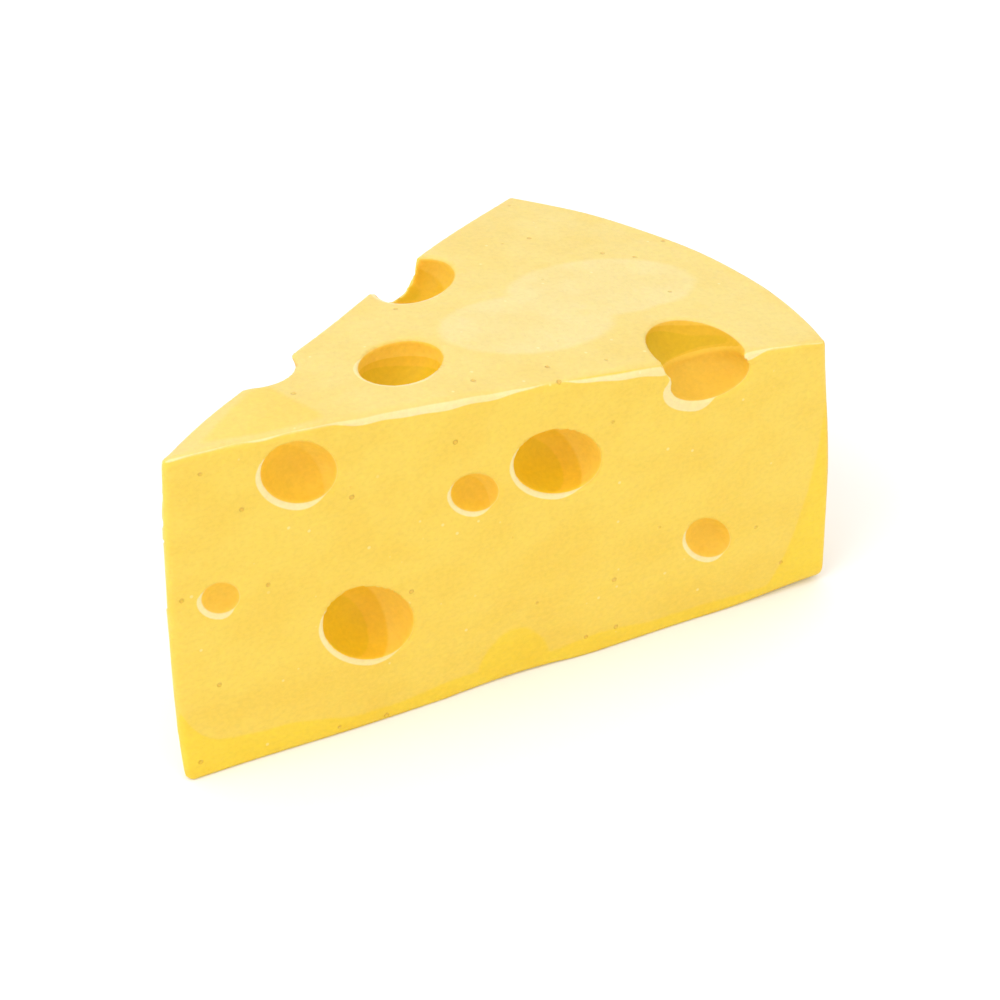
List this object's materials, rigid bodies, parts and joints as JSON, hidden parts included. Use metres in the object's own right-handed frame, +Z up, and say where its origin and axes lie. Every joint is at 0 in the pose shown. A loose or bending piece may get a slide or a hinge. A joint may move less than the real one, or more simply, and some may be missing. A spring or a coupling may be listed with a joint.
{
  "type": "cheese wedge",
  "caption": "Wedge of holed Swiss-type cheese, cut from a low domed wheel, with round gas holes in its two cut faces and top; rests on its flat base.",
  "frame": {"origin": "on the resting plane, under the middle of the wedge's bounding box", "axes": "+X along the front cut from the tip to the rim, +Y from the front cut towards the rest of the wheel, +Z up"},
  "size_m": [0.1664, 0.1012, 0.085],
  "materials": {
    "paste": "smooth, slightly waxy cut cheese"
  },
  "bodies": {
    "root": {"cheese_wedge": "paste"}
  },
  "joints": []
}
